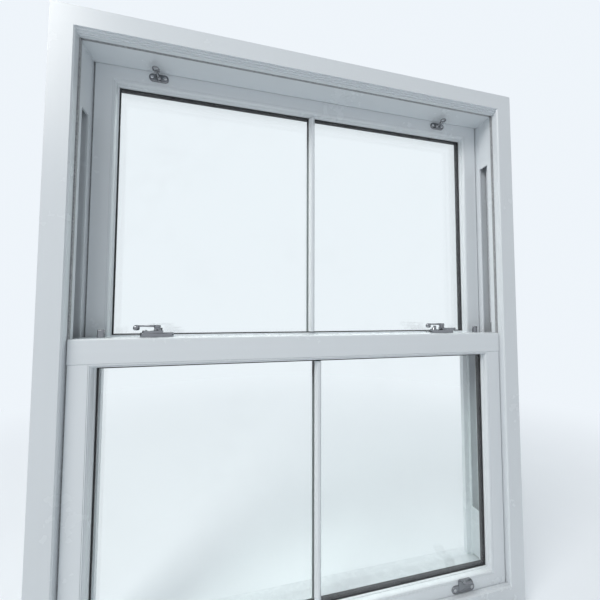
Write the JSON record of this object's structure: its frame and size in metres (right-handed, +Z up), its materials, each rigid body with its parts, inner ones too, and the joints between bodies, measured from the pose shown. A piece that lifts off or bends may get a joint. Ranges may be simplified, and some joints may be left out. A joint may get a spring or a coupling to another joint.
{
  "type": "sash window",
  "caption": "White plastic vertical sliding sash window in its frame, double glazed, with glazing bars, ball-knob catches, tilt latches, finger lifts and spring balances.",
  "frame": {"origin": "middle of the frame's underside", "axes": "+X to the right as seen from the room, +Y to the outside, +Z up"},
  "size_m": [1.048, 0.16, 1.3],
  "materials": {
    "frame_plastic": "satin white plastic",
    "sash_plastic": "satin white plastic",
    "clear_glass": "clear float glass",
    "spacer_bar": "dark warm-edge spacer",
    "gasket_rubber": "matt black gasket",
    "nylon": "moulded nylon",
    "balance_tube": "light plastic tube",
    "zinc_steel": "zinc plated",
    "pile_brush": "grey brush pile",
    "fitting_chrome": "polished",
    "latch_chrome": "polished"
  },
  "bodies": {
    "frame": {"frame_sill": "frame_plastic", "frame_head": "frame_plastic", "frame_jamb_left": "frame_plastic", "frame_jamb_right": "frame_plastic", "frame_pile": "pile_brush", "channel_covers": "frame_plastic", "lower_balance_tube_left": "balance_tube", "lower_balance_tube_right": "balance_tube", "upper_balance_tube_left": "balance_tube", "upper_balance_tube_right": "balance_tube", "balance_brackets": "nylon", "frame_screws": "zinc_steel"},
    "lower_sash": {"lower_rail_bottom": "sash_plastic", "lower_rail_meeting": "sash_plastic", "lower_stile_left": "sash_plastic", "lower_stile_right": "sash_plastic", "lower_beads": "sash_plastic", "lower_pane_inside": "clear_glass", "lower_pane_outside": "clear_glass", "lower_spacer": "spacer_bar", "lower_gaskets": "gasket_rubber", "lower_bar_inside": "sash_plastic", "lower_bar_outside": "sash_plastic", "lower_shoe_left": "nylon", "lower_shoe_right": "nylon", "lower_pivot_bars": "zinc_steel", "lower_balance_rods": "zinc_steel", "lower_latch_cases": "nylon", "lower_screws": "zinc_steel", "catch_base_left": "fitting_chrome", "catch_base_right": "fitting_chrome", "lift_left": "fitting_chrome", "lift_right": "fitting_chrome"},
    "upper_sash": {"upper_rail_top": "sash_plastic", "upper_rail_meeting": "sash_plastic", "upper_stile_left": "sash_plastic", "upper_stile_right": "sash_plastic", "upper_beads": "sash_plastic", "upper_pane_inside": "clear_glass", "upper_pane_outside": "clear_glass", "upper_spacer": "spacer_bar", "upper_gaskets": "gasket_rubber", "upper_bar_inside": "sash_plastic", "upper_bar_outside": "sash_plastic", "upper_shoe_left": "nylon", "upper_shoe_right": "nylon", "upper_pivot_bars": "zinc_steel", "upper_balance_rods": "zinc_steel", "upper_latch_cases": "nylon", "upper_screws": "zinc_steel", "keeper_left": "fitting_chrome", "keeper_right": "fitting_chrome", "pole_eye_left": "fitting_chrome", "pole_eye_right": "fitting_chrome"},
    "catch_lever_left": {"catch_lever_left": "fitting_chrome"},
    "catch_lever_right": {"catch_lever_right": "fitting_chrome"},
    "lower_latch_left": {"lower_latch_left": "latch_chrome"},
    "lower_latch_right": {"lower_latch_right": "latch_chrome"},
    "upper_latch_left": {"upper_latch_left": "latch_chrome"},
    "upper_latch_right": {"upper_latch_right": "latch_chrome"}
  },
  "joints": [
    {"name": "lower_sash_slide", "type": "slide", "parent": "frame", "child": "lower_sash", "axis": [0, 0, 1], "range_m": [0, 0.44]},
    {"name": "upper_sash_slide", "type": "slide", "parent": "frame", "child": "upper_sash", "axis": [0, 0, 1], "range_m": [-0.44, 0]},
    {"name": "catch_lever_left_turn", "type": "hinge", "parent": "lower_sash", "child": "catch_lever_left", "pos_m": [-0.338, -0.022, 0.6725], "axis": [0, 0, 1], "range_deg": [0, 180]},
    {"name": "catch_lever_right_turn", "type": "hinge", "parent": "lower_sash", "child": "catch_lever_right", "pos_m": [0.338, -0.022, 0.6725], "axis": [0, 0, 1], "range_deg": [0, 180]},
    {"name": "lower_latch_left_slide", "type": "slide", "parent": "lower_sash", "child": "lower_latch_left", "axis": [1, 0, 0], "range_m": [0, 0.013], "stiffness_N_per_m": 400, "springref_m": -0.006},
    {"name": "lower_latch_right_slide", "type": "slide", "parent": "lower_sash", "child": "lower_latch_right", "axis": [-1, 0, 0], "range_m": [0, 0.013], "stiffness_N_per_m": 400, "springref_m": -0.006},
    {"name": "upper_latch_left_slide", "type": "slide", "parent": "upper_sash", "child": "upper_latch_left", "axis": [1, 0, 0], "range_m": [0, 0.013], "stiffness_N_per_m": 400, "springref_m": -0.006},
    {"name": "upper_latch_right_slide", "type": "slide", "parent": "upper_sash", "child": "upper_latch_right", "axis": [-1, 0, 0], "range_m": [0, 0.013], "stiffness_N_per_m": 400, "springref_m": -0.006}
  ]
}
